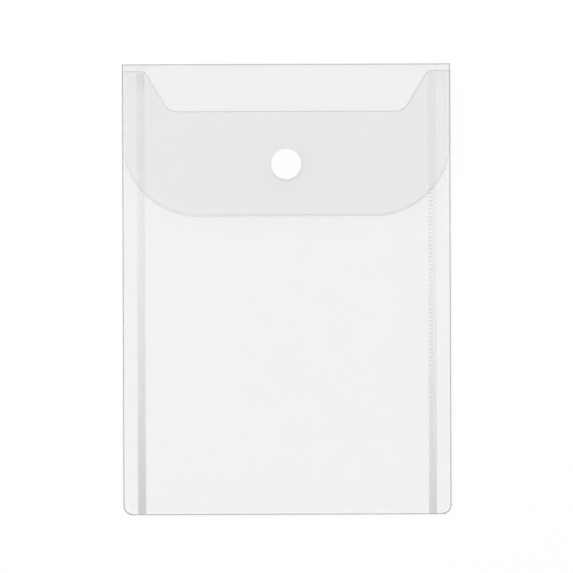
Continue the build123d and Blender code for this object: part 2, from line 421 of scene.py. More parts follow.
# %% Folds
# Painted shade: the whole flap crease is hazier, a dark line where the film bends.
FOLD_PAINTED_SHADE = 0.2
FOLD_RIM = 4 * MM
LEVEL_LEAD = 4 * MM
LEVEL_Y = COIN_Y + COIN_RADIUS + LEVEL_LEAD
FLAP_RISE = FLAP_Z - HINGE_Z - (HINGE_Z - FILM)
FLAP_TURN = 2 * math.atan2(FLAP_RISE, HINGE_Y - LEVEL_Y)
FOLD_MIDDLE = HINGE_Z - FILM / 2
BOTTOM_OUTER = BOTTOM_FOLD_Y - BOTTOM_Y


def fold_middle(x, angle, centre_y, centre_z, radius):
    """Arc in the side view: the centre plus the radius along the angle, at every place across."""
    across, around = np.broadcast_arrays(x, angle[:, None])
    along = centre_y + radius * np.cos(around)
    return np.stack([across, along, centre_z + radius * np.sin(around)], axis=2)


fold_columns = both_sides(np.concatenate([places((0, HALF_WIDTH - FOLD_RIM, 24)), side_rim]))
fold_angle = np.linspace(-math.pi / 2, math.pi / 2 - FLAP_TURN, 22)
flap_fold_middle = fold_middle(fold_columns, fold_angle, HINGE_Y, HINGE_Z, FOLD_MIDDLE)
flap_fold_cut = HALF_WIDTH - np.abs(flap_fold_middle[..., 0])
flap_fold_half = np.minimum(bead_half(flap_fold_cut), FILM / 2)
flap_fold_painted_shade = np.maximum(SIDE_PAINTED_SHADE * window(flap_fold_cut, *SIDE_LINE), FOLD_PAINTED_SHADE)
flap_crease = film_piece("flap_crease", flap_fold_middle, flap_fold_half, flap_fold_painted_shade)

bottom_angle = np.linspace(3 * math.pi / 2, math.pi / 2, 18)
bottom_share = both_sides(places((0, 1, 40)))
bottom_radius = BOTTOM_OUTER - FILM / 2
bottom_middle = fold_middle(bottom_share, bottom_angle, BOTTOM_FOLD_Y, BOTTOM_OUTER, bottom_radius)
corner_drop = BOTTOM_Y + CORNER_RADIUS - bottom_middle[..., 1]
bottom_middle[..., 0] *= HALF_WIDTH - CORNER_RADIUS + np.sqrt(CORNER_RADIUS**2 - corner_drop**2)
bottom_half = np.full(bottom_middle.shape[:2], FILM / 2)
# Painted shade: the bottom crease carries the dark line of the fold all over.
bottom_painted_shade = np.full_like(bottom_half, BOTTOM_PAINTED_SHADE)
bottom_crease = film_piece("bottom_crease", bottom_middle[::-1], bottom_half, bottom_painted_shade)

# %% [markdown]
# The flap leaves its crease at an angle, comes level in one arc just above the coin, and runs flat to its
# tip. Seen from the front its lower corners are large quarter circles that meet the side edges. Its shape
# could be bent by a modifier, but an arc that starts where the crease ends keeps the two joined.

# %% Flap shape
COIN_MARGIN = 2 * MM
TIP_BAND = 1.8 * MM
TIP_SOFT = 0.5 * MM
WAVE_FREE = 40 * MM
FLAP_ARC = (HINGE_Y - LEVEL_Y) / math.sin(FLAP_TURN)
FLAP_START_Y = HINGE_Y + FOLD_MIDDLE * math.sin(FLAP_TURN)


def flap_height(y):
    """Middle of the flap's film in the side view: level up to the coin, then down the arc to the crease."""
    radius = FLAP_ARC + FOLD_MIDDLE
    back = np.clip(y - LEVEL_Y, 0, None)
    return FLAP_Z + FILM / 2 - radius + np.sqrt(radius**2 - back**2)


coin_reach = COIN_RADIUS + COIN_MARGIN
coin_run = places((0, coin_reach, 30))
level_run = places((0, HALF_WIDTH - FLAP_CORNER, 18))
flap_corner_run = HALF_WIDTH - FLAP_CORNER + FLAP_CORNER * np.sin(np.linspace(0, math.pi / 2, 44))
flap_columns = both_sides(np.concatenate([coin_run, level_run, flap_corner_run, side_rim]))
coin_rows = COIN_Y - FLAP_TIP_Y + np.array([-1, 1]) * coin_reach
flap_shares = places((0, 1, 44), (*coin_rows / (FLAP_START_Y - FLAP_TIP_Y), 56))
flap_floor = rounded_low(flap_columns, FLAP_TIP_Y, FLAP_CORNER)
flap_top = np.full_like(flap_columns, FLAP_START_Y)
band_ladder = np.append(RIM_LADDER, TIP_BAND + TIP_SOFT * np.array([0.5, 1, 1.5]))
flap_y = rows_between(flap_floor, flap_top, flap_shares, band_ladder, fold_ladder)
flap_x = np.broadcast_to(flap_columns, flap_y.shape)
from_hinge = 1 - line_of(FLAP_START_Y - flap_y, WAVE_FREE)
flap_wave = ripple(flap_y, flap_x) * from_hinge * away_from_coin(flap_x, flap_y)
flap_middle = np.stack([flap_x, flap_y, flap_height(flap_y) + flap_wave], axis=2)
print("flap turns", round(math.degrees(FLAP_TURN), 2), "degrees at its crease")

# %% [markdown]
# The flap's haze is partly painted light. A band along its cut edge is painted shade of the edge, wide
# along the tip and narrow up the corners. Over the coin the adhesive wets the film and clears it, and a
# thin grey rim round the coin, mostly on its lower side, is the coin's painted shadow.

# %% Flap film
# Painted shade: the dark band along the flap's cut edge and the dark line up its sides.
TIP_PAINTED_SHADE = 0.08
SIDE_BAND = 0.4 * MM
FLAP_SIDE_PAINTED_SHADE = 0.18
FLAP_HAZE = 0.01
WETTED_HAZE = 0.04
WETTED_SOFT = 0.5 * MM
# Painted shadow: a thin grey rim round the coin, on its lower side.
COIN_SHADOW_PLACE = 0.75 * MM
COIN_SHADOW_WIDTH = 0.5 * MM
COIN_SHADOW_STRENGTH = 0.09
COIN_SHADOW_TOWARDS = math.radians(-70)


def painted_coin_shadow(x, y):
    """Painted shadow of the coin: a thin grey rim round it, strongest on its lower side."""
    past = np.hypot(x, y - COIN_Y) - COIN_RADIUS
    towards = 0.5 + 0.5 * np.cos(np.arctan2(y - COIN_Y, x) - COIN_SHADOW_TOWARDS)
    return COIN_SHADOW_STRENGTH * towards * line_of(np.abs(past - COIN_SHADOW_PLACE), COIN_SHADOW_WIDTH)


flap_edge = rounded_edge_distance(flap_x, flap_y, FLAP_TIP_Y, FLAP_CORNER)
flap_side = FLAP_SIDE_PAINTED_SHADE * window(HALF_WIDTH - np.abs(flap_x), *SIDE_LINE)
flap_band = SIDE_BAND + (TIP_BAND - SIDE_BAND) * line_of(flap_y - FLAP_TIP_Y, FLAP_CORNER)
flap_haze_and_painted_light = FLAP_HAZE + np.maximum(TIP_PAINTED_SHADE * line_of(flap_edge, TIP_SOFT, flap_band), flap_side)
flap_haze_and_painted_light -= WETTED_HAZE * line_of(np.hypot(flap_x, flap_y - COIN_Y), WETTED_SOFT, COIN_RADIUS)
# Painted shadow of the coin added to the flap's haze.
flap_haze_and_painted_light += painted_coin_shadow(flap_x, flap_y)
flap_film = film_piece("flap_film", flap_middle, bead_half(flap_edge), flap_haze_and_painted_light)

# %% [markdown]
# The side welds are pressed by a ribbed tool: short bars across the strip, and on the outer side a row of
# dots set half a step off. Under the flap the tool has only touched lightly, and near the bottom it has run
# smooth. A bump in the material could give the ribs, but then they would be missing from the mesh. The
# strip is a relief on a grid, a wave along the seam times a window across it.

# %% Weld relief
RIB_PITCH = 3 * MM
BAR_ROW = (0.6 * MM, 3.8 * MM, 0.5 * MM)
DOT_ROW = (4.95 * MM, 5.65 * MM, 0.3 * MM)
SMOOTH_END = 18 * MM
RIB_LEAST = 0.25
TOUCH_SOFT = 8 * MM
RIB_TOP_Y = float(rounded_low(WELD_INNER_X + WELD_WIDTH / 2, FLAP_TIP_Y, FLAP_CORNER))


def tool_press(along):
    """How hard the tool bit: lightly under the flap, fully below it, and smooth again at the bottom."""
    fade = 1 - line_of(along - BOTTOM_FOLD_Y, SMOOTH_END)
    return fade * (RIB_LEAST + (1 - RIB_LEAST) * line_of(along, TOUCH_SOFT, RIB_TOP_Y))


def weld_relief(across, along):
    """Ribs: a raised cosine along the seam times a window across it, and the dots half a step off."""
    wave = 0.5 + 0.5 * np.cos(2 * math.pi * along / RIB_PITCH)
    bars = wave * window(across, *BAR_ROW)
    dots = (1 - wave) * window(across, *DOT_ROW)
    return np.maximum(bars, dots) * tool_press(along)


print("ribs every", round(RIB_PITCH / MM, 2), "mm, fully pressed below y", round(RIB_TOP_Y / MM, 1), "mm")

# %% [markdown]
# The melt is cloudy, more so towards the bottom, where the tool dwelt. The two seams differ, as two passes
# of one tool do: the left one is cloudier with faint ribs, and the right one is clearer with ribs that show
# well at the top and weaken lower down. Each strip is sunk a little into both films, so no gap shows.

# %% Weld strips
RIB_RELIEF = 0.12 * MM
STRIP_SINK = 0.05 * MM
STRIP_EDGE = 0.25 * MM
STRIP_START = 0.2 * MM
STRIP_STOP = 1.5 * MM
START_PATCH = 22 * MM
RIB_MEAN = 0.3
RIB_HIGH = 1.35
RIB_LOW = 0.62
RIB_FADE = 60 * MM
LEFT_CLOUD = {"ribs": 0.025, "top": 0.022, "bottom": 0.232, "power": 2.7, "start": 0.05}
RIGHT_CLOUD = {"ribs": 0.075, "top": 0.012, "bottom": 0.186, "power": 3.5, "start": 0.0}


def strip_haze(along, relief, rounded, ribs, top, bottom, power, start):
    """Cloud of the melt: a power of the way down, a patch where the seam starts, and more on the ribs."""
    down = np.clip((TOP_Y - along) / (TOP_Y - BOTTOM_Y), 0, 1) ** power
    cloud = top + (bottom - top) * down + start * line_of(TAB_Y - along, START_PATCH)
    sharp = RIB_LOW + (RIB_HIGH - RIB_LOW) * line_of(RIB_TOP_Y - along, RIB_FADE)
    return rounded * (cloud + ribs * sharp * (relief - RIB_MEAN * tool_press(along)))


inner_end = WELD_WIDTH - STRIP_EDGE
strip_across = places((0, STRIP_EDGE, 5), (STRIP_EDGE, inner_end, 19), (inner_end, WELD_WIDTH, 5))
strip_y = places((BOTTOM_FOLD_Y + STRIP_START, TAB_Y - STRIP_STOP, 800))
weld_strips = []
for side, name, cloud in ((-1, "left_weld_strip", LEFT_CLOUD), (1, "right_weld_strip", RIGHT_CLOUD)):
    across, along = np.meshgrid(strip_across[::side], strip_y)
    relief = weld_relief(across, along)
    in_from_edge = np.minimum(np.minimum(across, WELD_WIDTH - across), STRIP_EDGE)
    rounded = np.sqrt(1 - (1 - in_from_edge / STRIP_EDGE) ** 2)
    half = np.full_like(relief, (FRONT_Z - FILM) / 2)
    centre = np.stack([side * (WELD_INNER_X + across), along, FILM + half], axis=2)
    thick = LEAST_HALF + rounded * (half - LEAST_HALF + STRIP_SINK) + RIB_RELIEF * relief
    haze = strip_haze(along, relief, rounded, **cloud)
    weld_strips.append(film_piece(name, centre, thick, haze))

# %% [markdown]
# The coin closure is two discs. Each is white woven tape on a film of adhesive, with its working face of
# nylon: stiff little hooks on the front film, soft loops under the flap. A cylinder with a bevel would do
# for a disc, but a profile turned round the coin's axis gives the rounded rim in one step.

# %% Turned disc
SPOKES = 96
RIM_STEPS = 6
DISC_RINGS = 14


def turned_disc(name, radius, low_z, high_z, edge):
    """A profile turned round the coin's axis: flat faces, and a rim of a quarter circle top and bottom."""
    turn = np.linspace(0, math.pi / 2, RIM_STEPS)
    inner = np.linspace(0, radius - edge, DISC_RINGS)[1:-1]
    upper_r = np.concatenate([inner, radius - edge + edge * np.sin(turn)])
    upper_z = np.concatenate([np.full_like(inner, high_z), high_z - edge + edge * np.cos(turn)])
    ring_r = np.concatenate([upper_r, upper_r[::-1]])[:, None]
    ring_z = np.concatenate([upper_z, low_z + high_z - upper_z[::-1]])[:, None]
    angle = np.linspace(0, 2 * math.pi, SPOKES, endpoint=False)
    rings = np.broadcast_arrays(ring_r * np.cos(angle), COIN_Y + ring_r * np.sin(angle), ring_z)
    points = np.stack(rings, axis=2).reshape(-1, 3)
    index = np.arange(len(points)).reshape(-1, SPOKES)
    following = np.roll(index, -1, axis=1)
    quads = np.stack([index[:-1], index[1:], following[1:], following[:-1]], axis=2).reshape(-1, 4)
    top, bottom = len(points), len(points) + 1
    top_fan = np.stack([np.full(SPOKES, top), index[0], following[0]], axis=1)
    bottom_fan = np.stack([np.full(SPOKES, bottom), following[-1], index[-1]], axis=1)
    points = np.concatenate([points, [[0, COIN_Y, high_z], [0, COIN_Y, low_z]]])
    return put_mesh(name, points, quads.tolist() + top_fan.tolist() + bottom_fan.tolist())


print("a disc has", SPOKES, "spokes and", DISC_RINGS - 2 + RIM_STEPS, "rings a side")

# %% [markdown]
# Each layer takes its place, width and thickness from its frame node. Adhesive wets what it touches, so it
# is sunk a few hundredths of a millimetre into the film. It is cut a touch smaller than the tape, so that
# it doesn't show round the rim. Rims are rounded by a share of the layer's thickness.

# %% Coin layers
WETTING = 0.06 * MM
ADHESIVE_INSET = 0.05 * MM
ADHESIVE_EDGE = 0.3
TAPE_EDGE = 0.45


def coin_layer(name, node, edge_share, low_sink=0.0, high_sink=0.0, inset=0.0):
    """One layer of the coin in the place of its frame node, sunk a little into what it is stuck to."""
    low, high = node_box(node)
    radius = (high[0] - low[0]) / 2 - inset
    thickness = high[2] - low[2]
    print(name, round(2 * radius / MM, 2), "mm across,", round(thickness / MM, 2), "mm thick")
    return turned_disc(name, radius, low[2] - low_sink, high[2] + high_sink, edge_share * thickness)


loop_adhesive = coin_layer(
    "loop_adhesive_disc", "loop_adhesive", ADHESIVE_EDGE, high_sink=WETTING, inset=ADHESIVE_INSET
)
loop_tape = coin_layer("loop_tape", "loop_backing", TAPE_EDGE)
hook_adhesive = coin_layer(
    "hook_adhesive_disc", "hook_adhesive", ADHESIVE_EDGE, low_sink=WETTING, inset=ADHESIVE_INSET
)
hook_tape = coin_layer("hook_tape", "hook_backing", TAPE_EDGE)

# %% [markdown]
# Hooks and loops are both thin strands of nylon. Curve objects with a bevel could make them, but there are
# hundreds. Here every strand is a path of a few points, and a small ring is carried along all the paths at
# once. Four sides are enough for a strand one or two tenths of a millimetre thick, with smooth shading.

# %% Strands
STRAND_SIDES = 4
STRAND_STEPS = 8


def strand_field(name, paths, side, radius):
    """Strands: each path's points plus a small ring spanned by its side and normal, with closed ends."""
    count, steps = paths.shape[:2]
    along = np.gradient(paths, axis=1)
    along /= np.linalg.norm(along, axis=2, keepdims=True)
    side = np.broadcast_to(side[:, None, :], paths.shape)
    normal = np.cross(along, side)
    turn = 2 * math.pi * np.arange(STRAND_SIDES) / STRAND_SIDES
    ring = side[:, :, None] * np.cos(turn)[:, None] + normal[:, :, None] * np.sin(turn)[:, None]
    points = paths[:, :, None] + radius * ring
    index = np.arange(count * steps * STRAND_SIDES).reshape(count, steps, STRAND_SIDES)
    following = np.roll(index, -1, axis=2)
    corners = [index[:, :-1], following[:, :-1], following[:, 1:], index[:, 1:]]
    quads = np.stack(corners, axis=3).reshape(-1, 4)
    caps = np.concatenate([index[:, 0, ::-1], index[:, -1]])
    return put_mesh(name, points, np.concatenate([quads, caps]).tolist())


print("a strand has", STRAND_SIDES * (STRAND_STEPS - 1) + 2, "faces")

# %% [markdown]
# Hooks stand in rows, and each row leans the other way from the one before, as they come off the loom: a
# straight stem, and then a curl of a little more than half a turn. A particle system could plant them, but
# a grid of places gives the same hooks each time.

# %% Hooks
HOOK_PITCH = 1.25 * MM
HOOK_STRAND_RADIUS = 0.11 * MM
HOOK_INSET = 0.8 * MM
HOOK_ROWS = 8
STEM_SHARE = 0.45
CURL_SHARE = 0.3
CURL_TURN = 1.15 * math.pi

hook_low, hook_high = node_box("hook_field")
hook_reach = (hook_high[0] - hook_low[0]) / 2 - HOOK_INSET
hook_row = np.arange(-HOOK_ROWS, HOOK_ROWS + 1)
hook_grid = np.stack(np.meshgrid(hook_row, hook_row), axis=2).reshape(-1, 2)
hook_grid = hook_grid[np.hypot(*hook_grid.T) * HOOK_PITCH < hook_reach]
hook_turn = np.linspace(0, 1, STRAND_STEPS)
hook_tall = hook_high[2] - hook_low[2] - HOOK_STRAND_RADIUS
hook_curl = CURL_SHARE * hook_tall
hook_stem = np.clip(hook_turn / STEM_SHARE, 0, 1) * (hook_tall - hook_curl)
hook_bend = CURL_TURN * np.clip((hook_turn - STEM_SHARE) / (1 - STEM_SHARE), 0, 1)
hook_lean = np.where(hook_grid[:, 1] % 2 == 0, 1.0, -1.0)
hook_x = HOOK_PITCH * hook_grid[:, :1]
hook_y = COIN_Y + HOOK_PITCH * hook_grid[:, 1:] + hook_lean[:, None] * hook_curl * (1 - np.cos(hook_bend))
hook_z = hook_low[2] + hook_stem + hook_curl * np.sin(hook_bend)
hook_paths = np.stack(np.broadcast_arrays(hook_x, hook_y, hook_z), axis=2)
hook_side = np.tile([1.0, 0, 0], (len(hook_grid), 1))
hook_strands = strand_field("hook_strands", hook_paths, hook_side, HOOK_STRAND_RADIUS)
print(len(hook_grid), "hooks,", round(hook_tall / MM, 2), "mm tall")

# %% [markdown]
# Loops are soft arches in every direction. Random places would bunch up, so they are set on a sunflower
# spiral, which covers the disc evenly without a pattern. A real disc has thousands of finer loops. These
# are fewer and coarser, so that they show.

# %% Loops
LOOP_COUNT = 520
LOOP_STRAND_RADIUS = 0.06 * MM
LOOP_INSET = 0.5 * MM
LOOP_WIDE = 0.45 * MM
LOOP_MEAN = 0.75
LOOP_CHANGE = 5.3
LOOP_TWIST = 2.7
GOLDEN_TURN = math.pi * (3 - math.sqrt(5))

loop_low, loop_high = node_box("loop_field")
place = np.arange(LOOP_COUNT) + 0.5
flat = np.zeros(LOOP_COUNT)
loop_reach = ((loop_high[0] - loop_low[0]) / 2 - LOOP_INSET) * np.sqrt(place / LOOP_COUNT)
loop_around = place * GOLDEN_TURN
loop_facing = loop_around * LOOP_TWIST + place
loop_turn = np.linspace(0, math.pi, STRAND_STEPS)
loop_tallest = loop_high[2] - loop_low[2] - LOOP_STRAND_RADIUS
loop_tall = loop_tallest * (LOOP_MEAN + (1 - LOOP_MEAN) * np.sin(LOOP_CHANGE * place))
loop_along = np.stack([np.cos(loop_facing), np.sin(loop_facing), flat], axis=1)
loop_side = np.stack([-np.sin(loop_facing), np.cos(loop_facing), flat], axis=1)
loop_x = loop_reach * np.cos(loop_around)
loop_y = COIN_Y + loop_reach * np.sin(loop_around)
loop_foot = np.stack([loop_x, loop_y, flat + loop_high[2]], axis=1)
loop_spread = loop_along[:, None] * (LOOP_WIDE * np.cos(loop_turn))[:, None]
loop_drop = np.array([0, 0, 1.0]) * (loop_tall[:, None] * np.sin(loop_turn))[..., None]
loop_paths = loop_foot[:, None] - loop_spread - loop_drop
loop_strands = strand_field("loop_strands", loop_paths, loop_side, LOOP_STRAND_RADIUS)
print(LOOP_COUNT, "loops, up to", round(loop_tallest / MM, 2), "mm tall")

# %% [markdown]
# Materials start from what the real ones are. One function turns the sRGB hex of a swatch into the linear
# colour that a shader wants, one adds a node with its settings and links, and one gives a piece its
# material, the body that it moves with and the frame node that it stands for.

# %% Material helpers
def swatch(hex_text):
    """sRGB hex to linear RGBA."""
    values = [int(hex_text[i : i + 2], 16) / 255 for i in (1, 3, 5)]
    return [v / 12.92 if v <= 0.04045 else ((v + 0.055) / 1.055) ** 2.4 for v in values] + [1.0]


def add(tree, kind, inputs=None, **settings):
    """A node with its settings; an input is a value, or another node's output to link."""
    node = tree.nodes.new(kind)
    for key, value in settings.items():
        setattr(node, key, value)
    for key, value in (inputs or {}).items():
        if isinstance(value, bpy.types.NodeSocket):
            tree.links.new(value, node.inputs[key])
        else:
            node.inputs[key].default_value = value
    return node


def new_material(name):
    """An empty node material and its output node."""
    material = bpy.data.materials.new(name)
    material.use_nodes = True
    material.node_tree.nodes.clear()
    return material, material.node_tree, add(material.node_tree, "ShaderNodeOutputMaterial")


def dress(piece, material, body, slot, *nodes):
    """Gives a piece its material, the body that it moves with, and the frame nodes that it stands for."""
    piece.data.materials.append(material)
    if body:
        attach(piece, body)
    if nodes:
        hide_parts(*nodes)
    print(piece.name, "is", material.name, "on", body or "both bodies")


print("#808080 is", round(swatch("#808080")[0], 3), "in linear light")

# %% [markdown]
# Polypropylene film, cast on a polished roll: clear, with the faint haze of its crystals, and glossy, more
# so the flatter the eye meets it. A glass shader would bend what lies behind, which film this thin doesn't
# do, so haze is the shader's alpha. A slanting look goes through more film and sees more haze. Gloss lies
# over it as a mirror that grows with the fifth power of the facing angle, which is the usual fit to the
# Fresnel law and is the same from both sides of the film. The film's grain is far finer than a pixel, so
# it is drawn at 1.6 mm to show at all.

# %% Film material
FILM_GLOSS = 0.04
FRESNEL_POWER = 5.0
GRAIN = 1.6 * MM
GRAIN_DEPTH = 0.02 * MM
GRAIN_BUMP = 0.05
GRAIN_HAZE = 0.15
SLANT_HAZE = 4.0
SLANT_POWER = 2.0
HAZE_ROUGHNESS = 0.35
POLYPROPYLENE_IOR = 1.49


def film_material(name, haze, colour, roughness):
    """Alpha: its own haze plus the piece's haze and painted shade, under a mirror coat that follows the
    facing angle.
    """
    material, tree, output = new_material(name)
    # The piece's haze holds painted shade and painted highlights along its edges and folds, as well as
    # haze.
    extra = add(tree, "ShaderNodeAttribute", attribute_name="haze").outputs["Fac"]
    spot = add(tree, "ShaderNodeTexCoord").outputs["Object"]
    noise = {"Vector": spot, "Scale": 1 / GRAIN, "Detail": 3.0}
    grain = add(tree, "ShaderNodeTexNoise", noise).outputs["Fac"]
    relief = {"Height": grain, "Strength": GRAIN_BUMP, "Distance": GRAIN_DEPTH}
    bump = add(tree, "ShaderNodeBump", relief).outputs["Normal"]
    spread = {"Value": grain, "To Min": (1 - GRAIN_HAZE) * haze, "To Max": (1 + GRAIN_HAZE) * haze}
    own = add(tree, "ShaderNodeMapRange", spread).outputs["Result"]
    amounts = {0: extra, 1: own}
    straight = add(tree, "ShaderNodeMath", amounts, operation="ADD", use_clamp=True).outputs[0]
    facing = add(tree, "ShaderNodeLayerWeight", {"Blend": 0.5}).outputs["Facing"]
    slant = add(tree, "ShaderNodeMath", {0: facing, 1: SLANT_POWER}, operation="POWER").outputs[0]
    through = {0: slant, 1: SLANT_HAZE, 2: 1.0}
    longer = add(tree, "ShaderNodeMath", through, operation="MULTIPLY_ADD").outputs[0]
    hazes = {0: straight, 1: longer}
    alpha = add(tree, "ShaderNodeMath", hazes, operation="MULTIPLY", use_clamp=True).outputs[0]
    plastic = {"Base Color": swatch(colour), "Roughness": HAZE_ROUGHNESS, "IOR": POLYPROPYLENE_IOR}
    cloudy = add(tree, "ShaderNodeBsdfPrincipled", {**plastic, "Alpha": alpha, "Normal": bump})
    shiny = {"Color": swatch("#ffffff"), "Roughness": roughness, "Normal": bump}
    mirror = add(tree, "ShaderNodeBsdfGlossy", shiny)
    fresnel = add(tree, "ShaderNodeMath", {0: facing, 1: FRESNEL_POWER}, operation="POWER").outputs[0]
    coat = {0: fresnel, 1: 1 - FILM_GLOSS, 2: FILM_GLOSS}
    gloss = add(tree, "ShaderNodeMath", coat, operation="MULTIPLY_ADD").outputs[0]
    coated = add(tree, "ShaderNodeMixShader", {0: gloss, 1: cloudy.outputs[0], 2: mirror.outputs[0]})
    tree.links.new(coated.outputs[0], output.inputs["Surface"])
    return material


print("haze grows up to", 1 + SLANT_HAZE, "times and gloss from", FILM_GLOSS, "to 1 at a flat look")

# %% [markdown]
# All five pieces of film are one sheet, so they share one material. Four ride on a body. The crease belongs
# to both, so it rides on neither and stays where it was built.

# %% Film pieces
# Cast film: clear at a straight look, hazy and mirror-like at a flat one.
film = film_material("polypropylene_film_cast", haze=0.0127, colour="#a8a8a8", roughness=0.1)
dress(back_film, film, "pocket", "film", "back_panel")
dress(front_film, film, "pocket", "film", "front_panel")
dress(bottom_crease, film, "pocket", "film", "bottom_fold")
dress(flap_film, film, "flap", "film", "flap")
dress(flap_crease, film, None, "film", "flap_fold")
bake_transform(flap_crease)

# %% [markdown]
# The weld is the same plastic, melted and frozen under the tool, so it takes the film's shader. Its own
# haze is low, because each point of a strip already carries the cloud of the melt, and the tool's face has
# left it less glossy.

# %% Weld material
# Pressed weld: a milky strip, duller than the film beside it.
weld = film_material("polypropylene_weld_pressed", haze=0.004, colour="#b6b6b6", roughness=0.22)
for strip, node_name in zip(weld_strips, ("left_weld_seam", "right_weld_seam")):
    dress(strip, weld, "pocket", "weld", node_name)

# %% [markdown]
# Nylon tape is woven, so its face has a fine basket of threads. Modelled threads would never be seen, so
# two crossed waves give their bump and a painted shade between the threads. Real threads are nearer a third
# of a millimetre. They are drawn at half a millimetre, so that a close view shows them.

# %% Tape material
THREAD = 0.5 * MM
# A wave texture of scale 1 turns by 20 radians in a metre.
WAVE_TURN = 20.0
WEAVE_DEPTH = 0.1 * MM
WEAVE_BUMP = 0.3
TAPE_ROUGHNESS = 0.75
NYLON_IOR = 1.53


def woven_material(name, colour, shade):
    """Plain weave: two crossed waves one thread apart, for painted shade between the threads and for bump.
    """
    material, tree, output = new_material(name)
    spot = add(tree, "ShaderNodeTexCoord").outputs["Object"]
    wave = {"Vector": spot, "Scale": 2 * math.pi / WAVE_TURN / THREAD}
    warp = add(tree, "ShaderNodeTexWave", wave, bands_direction="X").outputs["Fac"]
    weft = add(tree, "ShaderNodeTexWave", wave, bands_direction="Y").outputs["Fac"]
    basket = add(tree, "ShaderNodeMath", {0: warp, 1: weft}, operation="MULTIPLY").outputs[0]
    # Painted shade: a little darker between the threads, where the weave dips.
    shades = {0: basket, 6: swatch(shade), 7: swatch(colour)}
    tint = add(tree, "ShaderNodeMix", shades, data_type="RGBA").outputs[2]
    relief = {"Height": basket, "Strength": WEAVE_BUMP, "Distance": WEAVE_DEPTH}
    bump = add(tree, "ShaderNodeBump", relief).outputs["Normal"]
    nylon = {"Base Color": tint, "Roughness": TAPE_ROUGHNESS, "IOR": NYLON_IOR, "Normal": bump}
    cloth = add(tree, "ShaderNodeBsdfPrincipled", nylon)
    tree.links.new(cloth.outputs[0], output.inputs["Surface"])
    return material


# Woven tape: matt white, with a faint basket of threads in a close view.
tape = woven_material("nylon_tape_woven", colour="#fcfcfc", shade="#f4f4f3")
dress(loop_tape, tape, "flap", "tape", "loop_backing")
dress(hook_tape, tape, "pocket", "tape", "hook_backing")

# %% [markdown]
# Hooks and loops are drawn nylon. Cut hooks are smooth and shine a little, brushed loops are soft and dull,
# and a slow change of shade tells strands apart. The adhesive is a clear film over the white tape, so what
# the eye sees through it is white, and it can be painted so. Acrylic bends light nearly as nylon does, so
# one index serves both.

# %% Nylon and adhesive materials
ADHESIVE_PATCH = 3 * MM
STRAND_PATCH = 1.2 * MM


def smooth_material(name, colour, shade, roughness, patch):
    """Smooth plastic, with a slow change of shade over patches of the given size."""
    material, tree, output = new_material(name)
    spot = add(tree, "ShaderNodeTexCoord").outputs["Object"]
    patches = {"Vector": spot, "Scale": 1 / patch, "Detail": 2.0}
    noise = add(tree, "ShaderNodeTexNoise", patches).outputs["Fac"]
    shades = {0: noise, 6: swatch(shade), 7: swatch(colour)}
    tint = add(tree, "ShaderNodeMix", shades, data_type="RGBA").outputs[2]
    plastic = {"Base Color": tint, "Roughness": roughness, "IOR": NYLON_IOR}
    smooth = add(tree, "ShaderNodeBsdfPrincipled", plastic)
    tree.links.new(smooth.outputs[0], output.inputs["Surface"])
    return material


# Adhesive: smooth plain white, because the tape shows through it.
adhesive = smooth_material(
    "acrylic_adhesive_on_white_tape", "#fefefe", "#fbfbfa", roughness=0.45, patch=ADHESIVE_PATCH
)
# Cut hooks: off-white bristles with small gleams.
hook_nylon = smooth_material("nylon_hooks_cut", "#f6f6f4", "#e9e9e6", roughness=0.4, patch=STRAND_PATCH)
# Brushed loops: a soft dull white pile.
loop_nylon = smooth_material(
    "nylon_loops_brushed", "#fbfbfa", "#efefec", roughness=0.6, patch=STRAND_PATCH
)
dress(loop_adhesive, adhesive, "flap", "adhesive", "loop_adhesive")
dress(loop_strands, loop_nylon, "flap", "loop_pile", "loop_field")
dress(hook_adhesive, adhesive, "pocket", "adhesive", "hook_adhesive")
dress(hook_strands, hook_nylon, "pocket", "hook_pile", "hook_field")

# %% [markdown]
# The photograph has a plain white ground. More light would make the floor white, but would wash out the
# coin too. So the floor is a matt grey that takes the wallet's soft shadow, and gives light of its own to
# the eye, to mirrors and through clear film, which lifts it to white. The lift falls off far away, where
# the floor is seen at a flat angle and would otherwise glare.

# %% Floor
FLOOR_SIZE = 6.0
FLOOR_DROP = 0.05 * MM
FLOOR_LIFT = 0.74
FAR_LIFT = 0.59
NEAR_FLOOR = 0.9
FAR_FLOOR = 2.8

floor_corner = FLOOR_SIZE / 2 * np.array([[-1, -1, 0], [1, -1, 0], [1, 1, 0], [-1, 1, 0]])
floor = put_mesh("floor", floor_corner - [0, 0, FLOOR_DROP], [[0, 1, 2, 3]])
# Matt paint: an even white ground that shows only the wallet's soft shadow.
floor_paint, tree, output = new_material("floor_matt_white")
path = add(tree, "ShaderNodeLightPath").outputs
eye_or_mirror = {0: path["Is Camera Ray"], 1: path["Is Glossy Ray"]}
seen = add(tree, "ShaderNodeMath", eye_or_mirror, operation="MAXIMUM").outputs[0]
or_clear = {0: seen, 1: path["Is Transmission Ray"]}
seen = add(tree, "ShaderNodeMath", or_clear, operation="MAXIMUM").outputs[0]
spot = add(tree, "ShaderNodeTexCoord").outputs["Object"]
away = add(tree, "ShaderNodeVectorMath", {0: spot}, operation="LENGTH").outputs["Value"]
falling = {
    "Value": away,
    "From Min": NEAR_FLOOR,
    "From Max": FAR_FLOOR,
    "To Min": FLOOR_LIFT,
    "To Max": FAR_LIFT,
}
lifted = add(tree, "ShaderNodeMapRange", falling, interpolation_type="SMOOTHSTEP").outputs["Result"]
lift = add(tree, "ShaderNodeMath", {0: seen, 1: lifted}, operation="MULTIPLY").outputs[0]
matt = add(tree, "ShaderNodeBsdfDiffuse", {"Color": swatch("#8a8a8a")})
glow = add(tree, "ShaderNodeEmission", {"Color": swatch("#ffffff"), "Strength": lift})
both = add(tree, "ShaderNodeAddShader", {0: matt.outputs[0], 1: glow.outputs[0]})
